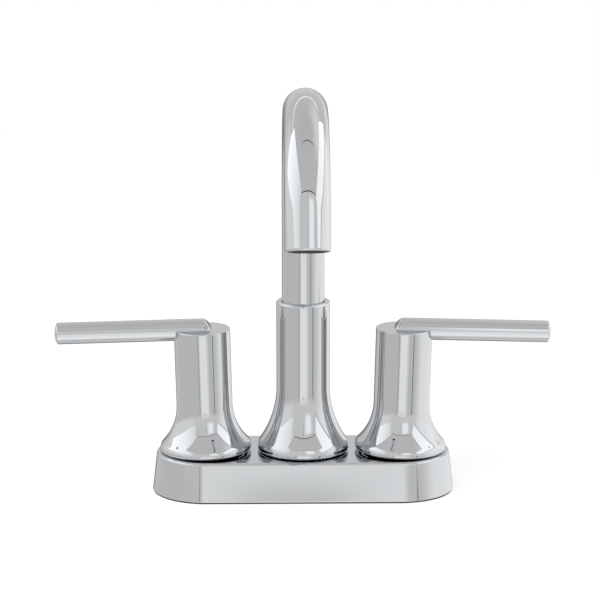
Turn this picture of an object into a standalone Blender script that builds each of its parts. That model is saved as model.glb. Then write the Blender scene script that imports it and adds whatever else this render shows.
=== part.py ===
"""Centerset bathroom faucet: a drafted base plate, two lever handles over quarter-turn
ceramic valves and a gooseneck spout that swivels in a flared post.

Frame: origin on the sink deck in the middle of the faucet, +Z up, the user stands at -Y.
The two valve axes lean outwards by VALVE_SPLAY, so each handle assembly is built upright
in the frame of an empty that sits on its valve axis, at the top of the base plate.
"""

import math

import bmesh
import bpy
from mathutils import Matrix, Vector

MM = 0.001

# Fits
SEAT_GAP = 0.3 * MM  # between faces that rest on each other
RUN_GAP = 0.3 * MM  # around what turns or slides in
EASY_GAP = 0.8 * MM  # around what only passes through

# Deck and stations
VALVE_SPACING = 101.6 * MM  # four inches between the two valves
VALVE_SPLAY = math.radians(1.5)  # outward lean of each valve axis
DECK_THICKNESS = 20.0 * MM  # sink deck that the shanks pass through

# Base plate
PLATE_LENGTH = 157.8 * MM
PLATE_DEPTH = 58.6 * MM
PLATE_HEIGHT = 20.6 * MM
PLATE_WALL = 2.5 * MM
PLATE_DRAFT = math.radians(6.6)
PLATE_EDGE = 1.2 * MM  # rounding of the top edge
PLATE_RIB = 1.8 * MM
GASKET_THICKNESS = 2.0 * MM

# Flared skirts, shared by the post and the handles
RIM_RADIUS = 23.9 * MM
RIM_LIP = 1.9 * MM  # rounding under the rim
SKIRT_WALL = 2.2 * MM

# Spout post
POST_RADIUS = 13.9 * MM
POST_HEIGHT = 101.0 * MM  # above the deck
POST_FLARE_START = 55.4 * MM
POST_SHOULDER = 1.0 * MM  # rounding of its upper edge
POST_RIM_ROUND = 8.4 * MM
POST_WEB = 4.0 * MM  # threaded web that screws onto the hub
POST_SEAL_WIDTH = 3.0 * MM
BUSHING_LENGTH = 9.0 * MM
BUSHING_WALL = 0.8 * MM
POST_LIP = 1.7 * MM

# Gooseneck
TUBE_RADIUS = 11.0 * MM
TUBE_WALL = 1.6 * MM
ARCH_RADIUS = 54.4 * MM
ARCH_CENTRE_HEIGHT = 153.4 * MM
LEG_LENGTH = 19.4 * MM  # straight run from the arch to the outlet
OUTLET_TILT = math.radians(16.0)  # the outlet leans away from the post
OUTLET_LIP = 1.0 * MM
SPIGOT_RADIUS = 8.5 * MM
SPIGOT_LENGTH = 32.0 * MM
SPIGOT_WALL = 3.1 * MM
SPOUT_SWING = math.radians(60.0)  # either way, held by the stop pin
STOP_PIN_RADIUS = 1.2 * MM

# Aerator
AERATOR_LENGTH = 10.0 * MM
AERATOR_WALL = 1.5 * MM
AERATOR_INSET = 0.8 * MM
SCREEN_THICKNESS = 1.4 * MM
SCREEN_HOLE = 1.0 * MM
SCREEN_PITCH = 3.4 * MM

# Handles, with heights along the valve axis above the plate
HANDLE_RADIUS = 14.6 * MM
HANDLE_HEIGHT = 65.7 * MM
HANDLE_GAP = 1.0 * MM  # under the skirt
HANDLE_FLARE_START = 25.4 * MM
HANDLE_RIM_ROUND = 5.2 * MM
HANDLE_EDGE = 0.6 * MM
HANDLE_CAVITY = 39.0 * MM
LEVER_RADIUS = 5.65 * MM
LEVER_REACH = 76.3 * MM  # from the valve axis to the tip
LEVER_SINK = 0.45 * MM  # lever axis below the handle's flat top
LEVER_DOME = 1.3 * MM
LEVER_EDGE = 0.5 * MM
LEVER_TOE = 5.0 * MM  # inner end past the valve axis, on the flat top
LEVER_SLANT = math.radians(59.0)

# Brass valve body
BAR_RADIUS = 5.0 * MM
BAR_BORE = 3.0 * MM
BAR_HEIGHT = 12.6 * MM
BARREL_RADIUS = 10.6 * MM  # threaded barrel that holds a cartridge
BARREL_RISE = 10.0 * MM  # above the plate
WELL_RADIUS = 8.2 * MM
WELL_FLOOR = 4.5 * MM  # above the deck
INLET_BORE = 3.5 * MM
FOOT_RADIUS = 13.5 * MM
FOOT_THICKNESS = 2.5 * MM
HUB_RADIUS = 11.0 * MM
HUB_HEIGHT = 50.0 * MM
SHANK_RADIUS = 10.2 * MM
SHANK_BORE = 7.5 * MM
SHANK_LENGTH = 48.0 * MM
SHANK_CHAMFER = 1.0 * MM

# Cartridges
STEM_RADIUS = 4.3 * MM
SPLINE_RADIUS = 4.0 * MM
SPLINE_TEETH = 10
SPLINE_DEPTH = 0.45 * MM
STEM_TOP = 54.0 * MM
DISC_THICKNESS = 2.0 * MM
DISC_RADIUS = 6.3 * MM
PORT_INNER = 1.5 * MM
PORT_OUTER = 4.6 * MM
PORT_ANGLE = math.radians(76.0)
DRIVER_THICKNESS = 2.3 * MM
DRIVER_LUG = 1.0 * MM  # radial depth of the two lugs
LUG_WIDTH = 2.4 * MM
CAVITY_RISE = 2.3 * MM  # water space above the driver
SEAL_THICKNESS = 1.8 * MM
FLANGE_RADIUS = 10.0 * MM
FLANGE_THICKNESS = 1.7 * MM
NECK_RADIUS = 6.4 * MM
NECK_TOP = 24.0 * MM
ORING_SECTION = 0.6 * MM
STEM_ORING_HEIGHT = 8.0 * MM

# Nuts, washers and screws
BONNET_FLATS = 24.4 * MM
BONNET_LIP = 2.3 * MM
BONNET_RISE = 1.3 * MM  # above the plate nut
PLATE_NUT_RADIUS = 16.5 * MM
PLATE_NUT_HEIGHT = 3.4 * MM
PLATE_NUT_SLOT = 4.0 * MM
WASHER_RADIUS = 19.0 * MM
WASHER_THICKNESS = 1.5 * MM
WING_NUT_RADIUS = 14.5 * MM
WING_NUT_HEIGHT = 13.0 * MM
WING_SPAN = 23.0 * MM
WING_THICKNESS = 4.0 * MM
SET_SCREW_RADIUS = 2.0 * MM
SET_SCREW_LENGTH = 6.0 * MM
SET_SCREW_HEIGHT = 47.0 * MM
HEX_KEY = 2.0 * MM  # across the flats of its socket
SPOUT_ORING_SECTION = 0.8 * MM
SNAP_RING_SECTION = 1.0 * MM

# Facets around an axis: what shows, what fits into that, and small inner pieces
SIDES = 20
INNER_SIDES = 16
LEVER_SIDES = 16
SMALL_SIDES = 12
SCREW_SIDES = 8
PORT_STEPS = 3

# Places worked out from the sizes above
HALF_SPACING = VALVE_SPACING / 2
PLATE_TOP = PLATE_HEIGHT
BODY_BOTTOM = GASKET_THICKNESS + SEAT_GAP
RIM_EQUATOR_POST = PLATE_TOP + SEAT_GAP + RIM_LIP
RIM_EQUATOR_HANDLE = HANDLE_GAP + RIM_LIP
TUBE_BOTTOM = HUB_HEIGHT + 2 * SEAT_GAP + BUSHING_WALL
HUB_BORE = SPIGOT_RADIUS + RUN_GAP
PLATE_SKIN = PLATE_HEIGHT - PLATE_WALL
WELL_BOTTOM = WELL_FLOOR - PLATE_TOP
SEAL_BOTTOM = WELL_BOTTOM + SEAT_GAP
SEAL_TOP = SEAL_BOTTOM + SEAL_THICKNESS
FIXED_DISC_BOTTOM = SEAL_TOP + 2 * SEAT_GAP
MOVING_DISC_BOTTOM = FIXED_DISC_BOTTOM + DISC_THICKNESS + SEAT_GAP
DRIVER_BOTTOM = MOVING_DISC_BOTTOM + DISC_THICKNESS + SEAT_GAP
DRIVER_TOP = DRIVER_BOTTOM + DRIVER_THICKNESS
CAVITY_TOP = DRIVER_TOP + CAVITY_RISE
CARTRIDGE_RADIUS = WELL_RADIUS - RUN_GAP
CAVITY_RADIUS = DISC_RADIUS + RUN_GAP
STEM_BORE = STEM_RADIUS + RUN_GAP
FLANGE_BOTTOM = BARREL_RISE + SEAT_GAP
FLANGE_TOP = FLANGE_BOTTOM + FLANGE_THICKNESS
THREAD_RADIUS = BARREL_RADIUS + RUN_GAP
SOCKET_RADIUS = SPLINE_RADIUS + RUN_GAP
OUTLET_BORE = TUBE_RADIUS - TUBE_WALL


def clear_scene():
    for obj in list(bpy.data.objects):
        bpy.data.objects.remove(obj, do_unlink=True)


def finish(name, colour, metallic, roughness):
    """One Principled material."""
    mat = bpy.data.materials.new(name)
    mat.use_nodes = True
    shader = mat.node_tree.nodes["Principled BSDF"]
    shader.inputs["Base Color"].default_value = (*colour, 1.0)
    shader.inputs["Metallic"].default_value = metallic
    shader.inputs["Roughness"].default_value = roughness
    mat.diffuse_color = (*colour, 1.0)
    return mat


FINISHES = {
    "chrome": ((0.72, 0.73, 0.74), 1.0, 0.06),
    "brass": ((0.69, 0.49, 0.22), 1.0, 0.32),
    "steel": ((0.56, 0.56, 0.56), 1.0, 0.35),
    "black_rubber": ((0.02, 0.02, 0.02), 0.0, 0.7),
    "white_ceramic": ((0.83, 0.82, 0.78), 0.0, 0.2),
    "grey_acetal": ((0.33, 0.34, 0.36), 0.0, 0.45),
    "white_acetal": ((0.78, 0.78, 0.76), 0.0, 0.45),
}


def add_object(name, mesh, look, parent=None, at=(0, 0, 0), turn=(0, 0, 0)):
    """One named piece with a material of its own."""
    obj = bpy.data.objects.new(name, mesh)
    bpy.context.scene.collection.objects.link(obj)
    obj.parent = parent
    obj.location = at
    obj.rotation_euler = turn
    if not mesh.materials:
        mesh.materials.append(None)
    slot = obj.material_slots[0]
    slot.link = "OBJECT"
    slot.material = finish(f"{name}_{look}", *FINISHES[look])
    return obj


def mesh_from(bm, sharp=math.radians(35)):
    """A smooth-shaded mesh whose edges stay crisp beyond the given angle."""
    bmesh.ops.remove_doubles(bm, verts=bm.verts, dist=1e-7)
    bmesh.ops.recalc_face_normals(bm, faces=bm.faces)
    mesh = bpy.data.meshes.new("shape")
    bm.to_mesh(mesh)
    bm.free()
    mesh.shade_smooth()
    mesh.set_sharp_from_angle(angle=sharp)
    return mesh


def arc(centre_r, centre_z, radius, start, end, steps):
    """Points of an arc in the (radius, height) plane, both ends included."""
    turns = [start + (end - start) * i / steps for i in range(steps + 1)]
    return [
        (centre_r + radius * math.cos(t), centre_z + radius * math.sin(t)) for t in turns
    ]


def turned(profile, sides=SIDES):
    """Spins a closed profile of (radius, height) points about Z."""
    bm = bmesh.new()
    verts = [bm.verts.new((r, 0.0, z)) for r, z in profile]
    edges = [
        bm.edges.new((a, b))
        for a, b in zip(verts, verts[1:] + verts[:1])
        if a.co.x > 0 or b.co.x > 0
    ]
    bmesh.ops.spin(
        bm,
        geom=verts + edges,
        axis=(0, 0, 1),
        cent=(0, 0, 0),
        dvec=(0, 0, 0),
        angle=math.tau,
        steps=sides,
        use_merge=True,
    )
    return mesh_from(bm)


def ring(inner, outer, bottom, top, sides=SMALL_SIDES, chamfer=0.0):
    """A turned ring, with its outer edges chamfered."""
    profile = [
        (inner, bottom),
        (outer - chamfer, bottom),
        (outer, bottom + chamfer),
        (outer, top - chamfer),
        (outer - chamfer, top),
        (inner, top),
    ]
    kept = [p for i, p in enumerate(profile) if p not in profile[:i]]
    return turned(kept, sides)


def o_ring(radius, section, height, sides=SMALL_SIDES):
    return turned(arc(radius, height, section, 0.0, math.tau * 4 / 5, 4), sides)


def rod(radius, bottom, top, sides=SMALL_SIDES):
    return turned([(0, bottom), (radius, bottom), (radius, top), (0, top)], sides)


def prism(outline, bottom, top):
    """Extrudes an outline of (x, y) points from one height to the other."""
    bm = bmesh.new()
    face = bm.faces.new([bm.verts.new((x, y, bottom)) for x, y in outline])
    grown = bmesh.ops.extrude_face_region(bm, geom=[face])["geom"]
    moved = [g for g in grown if isinstance(g, bmesh.types.BMVert)]
    bmesh.ops.translate(bm, verts=moved, vec=(0, 0, top - bottom))
    return mesh_from(bm)


def block(low, high):
    outline = [(low[0], low[1]), (high[0], low[1]), (high[0], high[1]), (low[0], high[1])]
    return prism(outline, low[2], high[2])


def hexagon(flats, bottom, top, centre=(0.0, 0.0)):
    reach = flats / math.sqrt(3)
    corners = [math.radians(60 * i + 30) for i in range(6)]
    outline = [
        (centre[0] + reach * math.cos(t), centre[1] + reach * math.sin(t)) for t in corners
    ]
    return prism(outline, bottom, top)


def sector(inner, outer, middle, angle, bottom, top, steps=5):
    """A slice of a ring, such as a port or a groove."""
    turns = [middle - angle / 2 + angle * i / steps for i in range(steps + 1)]
    outline = [(inner * math.cos(t), inner * math.sin(t)) for t in turns]
    outline += [(outer * math.cos(t), outer * math.sin(t)) for t in reversed(turns)]
    return prism(outline, bottom, top)


def placed(mesh, matrix):
    mesh.transform(matrix)
    return mesh


def merged(meshes):
    """Separate closed shapes in one mesh, to act together as one cutter."""
    bm = bmesh.new()
    for mesh in meshes:
        bm.from_mesh(mesh)
    return mesh_from(bm)


def carved(base, add=(), cut=()):
    """The base joined with some meshes and then cut by others, with exact Booleans."""
    work = bpy.data.objects.new("work", base)
    bpy.context.scene.collection.objects.link(work)
    groups = []
    for operation, meshes in (("UNION", add), ("DIFFERENCE", cut)):
        if not meshes:
            continue
        group = bpy.data.collections.new(operation.title())
        bpy.context.scene.collection.children.link(group)
        for mesh in meshes:
            helper = bpy.data.objects.new("helper", mesh)
            helper.hide_render = True
            helper.display_type = "WIRE"
            group.objects.link(helper)
        modifier = work.modifiers.new(operation.title(), "BOOLEAN")
        modifier.operation = operation
        modifier.operand_type = "COLLECTION"
        modifier.collection = group
        groups.append(group)
    graph = bpy.context.evaluated_depsgraph_get()
    result = bpy.data.meshes.new_from_object(work.evaluated_get(graph))
    bpy.data.objects.remove(work, do_unlink=True)
    for group in groups:
        for helper in list(group.objects):
            bpy.data.objects.remove(helper, do_unlink=True)
        bpy.data.collections.remove(group)
    bm = bmesh.new()
    bm.from_mesh(result)
    return mesh_from(bm)


def stadium(half_length, half_depth, steps=11):
    """An outline with straight sides and full round ends."""
    run = half_length - half_depth
    points = []
    for side in (1, -1):
        for i in range(steps + 1):
            t = side * math.pi / 2 + math.pi * (i / steps - 1)
            points.append((side * run + half_depth * math.cos(t), half_depth * math.sin(t)))
    return points


def lofted(outlines):
    """Bridges closed outlines of equal count and closes both ends."""
    bm = bmesh.new()
    loops = []
    for outline in outlines:
        verts = [bm.verts.new(point) for point in outline]
        loops.append([bm.edges.new(pair) for pair in zip(verts, verts[1:] + verts[:1])])
    for low, high in zip(loops, loops[1:]):
        bmesh.ops.bridge_loops(bm, edges=low + high)
    bmesh.ops.holes_fill(bm, edges=loops[0])
    bmesh.ops.holes_fill(bm, edges=loops[-1])
    return mesh_from(bm)


def plate_inset(z):
    """How far the drafted side of the plate has come in at a height."""
    return z * math.tan(PLATE_DRAFT)


def plate_outline(z, inward=0.0):
    inset = plate_inset(z) + inward
    return [(x, y, z) for x, y in stadium(PLATE_LENGTH / 2 - inset, PLATE_DEPTH / 2 - inset)]


def valve_frame(side):
    """Matrix of a valve axis, with its origin at the top of the plate."""
    lean = Matrix.Rotation(side * VALVE_SPLAY, 4, "Y")
    return Matrix.Translation((side * HALF_SPACING, 0, PLATE_TOP)) @ lean


def skirt_flare(neck, start, equator, rim_round, inward=0.0, steps=5, rim_steps=3):
    """The outer side of a flared skirt from its neck down to the rim's widest circle.

    A concave arc leaves the neck and a convex one rounds the rim, tangent to each other.
    """
    spread, drop = RIM_RADIUS - neck, start - equator
    turn = 2 * math.atan2(spread, drop)
    hollow = drop / math.sin(turn) - rim_round
    upper = arc(neck + hollow, start, hollow + inward, math.pi, math.pi + turn, steps)
    lower = arc(RIM_RADIUS - rim_round, equator, rim_round - inward, turn, 0.0, rim_steps)
    return upper + lower[1:]


def make_plate():
    shell = [plate_outline(0.0)]
    for i in range(4):
        t = math.radians(30 * i)
        z = PLATE_HEIGHT - PLATE_EDGE * (1 - math.sin(t))
        shell.append(plate_outline(z, PLATE_EDGE * (1 - math.cos(t))))
    hollow = [plate_outline(-PLATE_WALL, PLATE_WALL), plate_outline(PLATE_SKIN, PLATE_WALL)]
    openings = [rod(HUB_RADIUS + EASY_GAP, PLATE_SKIN - PLATE_WALL, PLATE_TOP + PLATE_WALL)]
    for side in (1, -1):
        opening = rod(BARREL_RADIUS + EASY_GAP, -2 * PLATE_WALL, PLATE_WALL)
        openings.append(placed(opening, valve_frame(side)))
    ribs = []
    for side in (1, -1):
        x = side * HALF_SPACING / 2
        reach = PLATE_DEPTH / 2 - PLATE_WALL
        for y in (-1, 1):
            low = (x - PLATE_RIB / 2, min(y * reach, y * 2 * BAR_RADIUS), BAR_HEIGHT)
            high = (x + PLATE_RIB / 2, max(y * reach, y * 2 * BAR_RADIUS), PLATE_TOP - PLATE_EDGE)
            ribs.append(block(low, high))
    walls = carved(lofted(shell), cut=[lofted(hollow)])
    mesh = carved(walls, add=ribs, cut=openings)
    return add_object("base_plate", mesh, "chrome")


def make_gasket():
    inward = PLATE_WALL + SEAT_GAP + plate_inset(GASKET_THICKNESS)
    outline = [(x, y) for x, y, _ in plate_outline(0.0, inward)]
    holes = []
    for side in (1, -1):
        hole = rod(SHANK_RADIUS + EASY_GAP, -GASKET_THICKNESS, 2 * GASKET_THICKNESS)
        holes.append(placed(hole, Matrix.Translation((side * HALF_SPACING, 0, 0))))
    mesh = carved(prism(outline, 0.0, GASKET_THICKNESS), cut=holes)
    return add_object("deck_gasket", mesh, "black_rubber")


def make_valve_body():
    """The brass casting: two leaning barrels and shanks, the hub and the crossing waterway."""
    quarter = Matrix.Rotation(math.pi / 2, 4, "Y")
    crossing = Matrix.Translation((0, 0, BAR_HEIGHT)) @ quarter
    hub_profile = [
        (0, BODY_BOTTOM),
        (FOOT_RADIUS, BODY_BOTTOM),
        (FOOT_RADIUS, BODY_BOTTOM + FOOT_THICKNESS),
        (HUB_RADIUS, BODY_BOTTOM + FOOT_THICKNESS),
        (HUB_RADIUS, HUB_HEIGHT),
        (0, HUB_HEIGHT),
    ]
    add = [placed(rod(BAR_RADIUS, -HALF_SPACING, HALF_SPACING), crossing)]
    cut = [rod(HUB_BORE, BAR_HEIGHT, HUB_HEIGHT + HUB_RADIUS, INNER_SIDES)]
    span = groove_span(snap_ring_height(), SNAP_RING_SECTION)
    cut.append(ring(SPIGOT_RADIUS, HUB_BORE + SNAP_RING_SECTION, *span, INNER_SIDES))
    cut.append(pin_hole())
    for side in (1, -1):
        upright = Matrix.Translation((side * HALF_SPACING, 0, 0))
        leaning = valve_frame(side)
        shank = turned(
            [
                (0, -SHANK_LENGTH),
                (SHANK_RADIUS - SHANK_CHAMFER, -SHANK_LENGTH),
                (SHANK_RADIUS, -SHANK_LENGTH + SHANK_CHAMFER),
                (SHANK_RADIUS, BODY_BOTTOM),
                (FOOT_RADIUS, BODY_BOTTOM),
                (FOOT_RADIUS, BODY_BOTTOM + FOOT_THICKNESS),
                (0, BODY_BOTTOM + FOOT_THICKNESS),
            ],
            SMALL_SIDES,
        )
        barrel_foot = BODY_BOTTOM + FOOT_THICKNESS / 2 - PLATE_TOP
        add.append(placed(shank, upright))
        add.append(placed(rod(BARREL_RADIUS, barrel_foot, BARREL_RISE, INNER_SIDES), leaning))
        well = turned(
            [
                (0, WELL_BOTTOM - 2 * FOOT_THICKNESS),
                (INLET_BORE, WELL_BOTTOM - 2 * FOOT_THICKNESS),
                (INLET_BORE, WELL_BOTTOM),
                (WELL_RADIUS, WELL_BOTTOM),
                (WELL_RADIUS, BARREL_RISE + WELL_RADIUS),
                (0, BARREL_RISE + WELL_RADIUS),
            ],
            INNER_SIDES,
        )
        supply = rod(SHANK_BORE, -SHANK_LENGTH - SHANK_BORE, WELL_FLOOR - FOOT_THICKNESS)
        cut += [placed(well, leaning), placed(supply, upright)]
    waterway = rod(BAR_BORE, -HALF_SPACING, HALF_SPACING)
    cut.append(placed(waterway, crossing))
    mesh = carved(turned(hub_profile, INNER_SIDES), add=add, cut=cut)
    return add_object("valve_body", mesh, "brass")


def spigot_bottom():
    return TUBE_BOTTOM - SPIGOT_LENGTH


def oring_heights():
    """The two seals sit at a third and two thirds of the lower half of the spigot."""
    span = SPIGOT_LENGTH / 2
    return [spigot_bottom() + span * share for share in (0.2, 0.6)]


def stop_pin_height():
    return spigot_bottom() + SPIGOT_LENGTH * 0.52


def snap_ring_height():
    return spigot_bottom() + SPIGOT_LENGTH * 0.72


def groove_span(height, section):
    reach = section + SEAT_GAP
    return height - reach, height + reach


def pin_hole():
    """Hole through the back wall of the hub that the stop pin sits in."""
    hole = rod(STOP_PIN_RADIUS + SEAT_GAP, SPIGOT_RADIUS - RUN_GAP, HUB_RADIUS + EASY_GAP, SCREW_SIDES)
    to_back = Matrix.Rotation(-math.pi / 2, 4, "X")
    return placed(hole, Matrix.Translation((0, 0, stop_pin_height())) @ to_back)


def spigot_mesh():
    """The lower end of the spout, with grooves for its seals and for the snap ring."""
    floor = spigot_bottom()
    profile = [(0, floor), (SPIGOT_RADIUS - OUTLET_LIP, floor), (SPIGOT_RADIUS, floor + OUTLET_LIP)]
    seal_floor = SPIGOT_RADIUS - 2 * SPOUT_ORING_SECTION - SEAT_GAP
    grooves = [(z, SPOUT_ORING_SECTION, seal_floor) for z in oring_heights()]
    grooves.append((snap_ring_height(), SNAP_RING_SECTION, SPIGOT_RADIUS - SNAP_RING_SECTION))
    for height, section, depth in grooves:
        low, high = groove_span(height, section)
        profile += [(SPIGOT_RADIUS, low), (depth, low), (depth, high), (SPIGOT_RADIUS, high)]
    top = TUBE_BOTTOM + TUBE_WALL
    return turned([*profile, (SPIGOT_RADIUS, top), (0, top)], SMALL_SIDES)


def make_spout_tube():
    """Sweeps a circle up from the post, round the arch and down the short outlet leg."""
    start = ARCH_CENTRE_HEIGHT
    arch = ARCH_RADIUS * (math.pi - OUTLET_TILT)
    crown = ARCH_RADIUS * math.pi / 2
    end = start + arch + LEG_LENGTH
    outer = [(TUBE_BOTTOM, TUBE_RADIUS)]
    outer += [(start + crown * i / 8, TUBE_RADIUS) for i in range(8)]
    outer += [(start + crown + (arch - crown) * i / 6, TUBE_RADIUS) for i in range(7)]
    for i in range(3):
        t = math.radians(45 * i)
        inward, back = OUTLET_LIP * (1 - math.cos(t)), OUTLET_LIP * (1 - math.sin(t))
        outer.append((end - back, TUBE_RADIUS - inward))
    recess_depth = AERATOR_LENGTH + AERATOR_INSET + 3 * SEAT_GAP + WASHER_THICKNESS
    bore = SPIGOT_RADIUS - SPIGOT_WALL
    seat = OUTLET_BORE - 2 * AERATOR_WALL
    narrow = [(spigot_bottom() - SPIGOT_WALL, bore), (TUBE_BOTTOM, bore), (start, seat)]
    narrow += [(start + arch * i / 7, seat) for i in range(1, 8)]
    narrow.append((end - recess_depth / 2, seat))
    recess = rod(OUTLET_BORE, -recess_depth, TUBE_RADIUS, SIDES)
    depth = SPIGOT_RADIUS - STOP_PIN_RADIUS
    pin_angle = math.asin((STOP_PIN_RADIUS + RUN_GAP) / depth)
    groove = sector(
        depth,
        SPIGOT_RADIUS + STOP_PIN_RADIUS,
        math.pi / 2,
        2 * (SPOUT_SWING + pin_angle),
        stop_pin_height() - STOP_PIN_RADIUS - RUN_GAP,
        stop_pin_height() + STOP_PIN_RADIUS + RUN_GAP,
        8,
    )
    mesh = carved(
        swept(outer, SIDES),
        add=[spigot_mesh()],
        cut=[swept(narrow, SMALL_SIDES), placed(recess, outlet_frame()), groove],
    )
    return add_object("spout_tube", mesh, "chrome")


def spout_frame(run):
    """Matrix of the spout's centre line at a length: heights first, then along the arch."""
    turn = math.pi - OUTLET_TILT
    past = min(max(run - ARCH_CENTRE_HEIGHT, 0.0), ARCH_RADIUS * turn)
    angle = past / ARCH_RADIUS
    rest = run - past
    if past < ARCH_RADIUS * turn:
        return (
            Matrix.Translation((0, -ARCH_RADIUS, min(rest, ARCH_CENTRE_HEIGHT)))
            @ Matrix.Rotation(angle, 4, "X")
            @ Matrix.Translation((0, ARCH_RADIUS, 0))
        )
    return (
        Matrix.Translation((0, -ARCH_RADIUS, ARCH_CENTRE_HEIGHT))
        @ Matrix.Rotation(turn, 4, "X")
        @ Matrix.Translation((0, ARCH_RADIUS, rest - ARCH_CENTRE_HEIGHT))
    )


def swept(stations, sides):
    """A solid along the spout's centre line, from (length, radius) stations."""
    turns = [math.tau * i / sides for i in range(sides)]
    loops = []
    for run, radius in stations:
        frame = spout_frame(run)
        circle = [Vector((radius * math.cos(t), radius * math.sin(t), 0)) for t in turns]
        loops.append([frame @ point for point in circle])
    return lofted(loops)


def outlet_frame():
    """Matrix at the outlet's plane, with Z pointing out of the spout."""
    return spout_frame(ARCH_CENTRE_HEIGHT + ARCH_RADIUS * (math.pi - OUTLET_TILT) + LEG_LENGTH)


def make_spout_fittings():
    for name, z in zip(("lower", "upper"), oring_heights()):
        mesh = o_ring(SPIGOT_RADIUS - SPOUT_ORING_SECTION, SPOUT_ORING_SECTION, z)
        add_object(f"spout_oring_{name}", mesh, "black_rubber")
    section = SNAP_RING_SECTION
    gap = sector(0, TUBE_RADIUS, -math.pi / 2, math.radians(50), 0, HUB_HEIGHT + TUBE_RADIUS)
    z = snap_ring_height()
    clip = ring(
        SPIGOT_RADIUS - section + RUN_GAP,
        HUB_BORE + section - RUN_GAP,
        z - section,
        z + section,
    )
    add_object("spout_snap_ring", carved(clip, cut=[gap]), "steel")
    pin = rod(STOP_PIN_RADIUS, SPIGOT_RADIUS - STOP_PIN_RADIUS + RUN_GAP, HUB_RADIUS, SCREW_SIDES)
    to_back = Matrix.Rotation(-math.pi / 2, 4, "X")
    placed(pin, Matrix.Translation((0, 0, stop_pin_height())) @ to_back)
    add_object("spout_stop_pin", pin, "steel")
    washer = ring(HUB_BORE, TUBE_RADIUS, HUB_HEIGHT + SEAT_GAP, TUBE_BOTTOM - SEAT_GAP)
    add_object("spout_thrust_washer", washer, "white_acetal")
    top = POST_HEIGHT - POST_LIP - SEAT_GAP
    sleeve = ring(
        TUBE_RADIUS + RUN_GAP,
        TUBE_RADIUS + RUN_GAP + BUSHING_WALL,
        top - BUSHING_LENGTH,
        top,
        SIDES,
    )
    add_object("post_bushing", sleeve, "white_acetal")


def make_aerator():
    frame = outlet_frame()
    outer = OUTLET_BORE - RUN_GAP
    inner = outer - AERATOR_WALL
    low = -AERATOR_INSET
    top = low - AERATOR_LENGTH
    housing = turned(
        [
            (inner, low),
            (outer, low),
            (outer, top),
            (inner - AERATOR_WALL, top),
            (inner - AERATOR_WALL, top + AERATOR_WALL),
            (inner, top + AERATOR_WALL),
        ],
        INNER_SIDES,
    )
    add_object("aerator_housing", placed(housing, frame), "white_acetal")
    face = low - SCREEN_THICKNESS / 2
    screen_radius = inner - RUN_GAP
    plate = rod(screen_radius, face - SCREEN_THICKNESS, face, INNER_SIDES)
    holes = []
    rows = int(screen_radius / SCREEN_PITCH)
    for row in range(-rows, rows + 1):
        for column in range(-rows, rows + 1):
            x = (column + row / 2) * SCREEN_PITCH
            y = row * SCREEN_PITCH * math.sqrt(3) / 2
            if math.hypot(x, y) < screen_radius - 2 * SCREEN_HOLE:
                holes.append(
                    hexagon(2 * SCREEN_HOLE, face - 2 * SCREEN_THICKNESS, face + SCREEN_THICKNESS, (x, y))
                )
    screen = carved(plate, cut=[merged(holes)])
    add_object("aerator_screen", placed(screen, frame), "grey_acetal")
    base = top - SEAT_GAP
    washer = ring(inner - AERATOR_WALL, outer, base - WASHER_THICKNESS, base)
    add_object("aerator_washer", placed(washer, frame), "black_rubber")


def make_post():
    """The flared spout post: screwed onto the hub by its web, over a rubber seal."""
    bottom = PLATE_TOP + SEAT_GAP
    web = bottom + RIM_LIP
    collar = TUBE_RADIUS + RUN_GAP
    pocket = collar + BUSHING_WALL + SEAT_GAP
    pocket_top = POST_HEIGHT - POST_LIP
    pocket_bottom = pocket_top - BUSHING_LENGTH - 2 * SEAT_GAP
    flare = (POST_RADIUS, POST_FLARE_START, RIM_EQUATOR_POST, POST_RIM_ROUND)
    edge = POST_RADIUS - POST_SHOULDER, POST_HEIGHT - POST_SHOULDER
    outer = [(0, POST_HEIGHT), *arc(*edge, POST_SHOULDER, math.pi / 2, 0, 2)]
    outer += skirt_flare(*flare)
    outer += arc(RIM_RADIUS - RIM_LIP, RIM_EQUATOR_POST, RIM_LIP, 0, -math.pi / 2, 2)[1:]
    outer.append((0, bottom))
    seal_pocket = ring(*seal_radii(), bottom - RIM_LIP, web, INNER_SIDES)
    cavity = [(r, z) for r, z in skirt_flare(*flare, SKIRT_WALL, 4, 2) if z > web + POST_WEB]
    bore = turned(
        [
            (0, bottom - RIM_LIP),
            (HUB_RADIUS + SEAT_GAP, bottom - RIM_LIP),
            (HUB_RADIUS + SEAT_GAP, web + POST_WEB),
            (cavity[-1][0], web + POST_WEB),
            *cavity[::-1],
            (cavity[0][0], pocket_bottom),
            (pocket, pocket_bottom),
            (pocket, pocket_top),
            (collar, pocket_top),
            (collar, POST_HEIGHT + POST_LIP),
            (0, POST_HEIGHT + POST_LIP),
        ],
        INNER_SIDES,
    )
    return add_object("spout_post", carved(turned(outer), cut=[bore, seal_pocket]), "chrome")


def seal_radii():
    outer = RIM_RADIUS - RIM_LIP - SKIRT_WALL
    return outer - POST_SEAL_WIDTH, outer


def make_post_seal():
    inner, outer = seal_radii()
    bottom = PLATE_TOP + SEAT_GAP
    top = bottom + RIM_LIP - SEAT_GAP
    mesh = ring(inner + SEAT_GAP, outer - SEAT_GAP, bottom, top, INNER_SIDES)
    return add_object("post_seal", mesh, "black_rubber")


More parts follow.
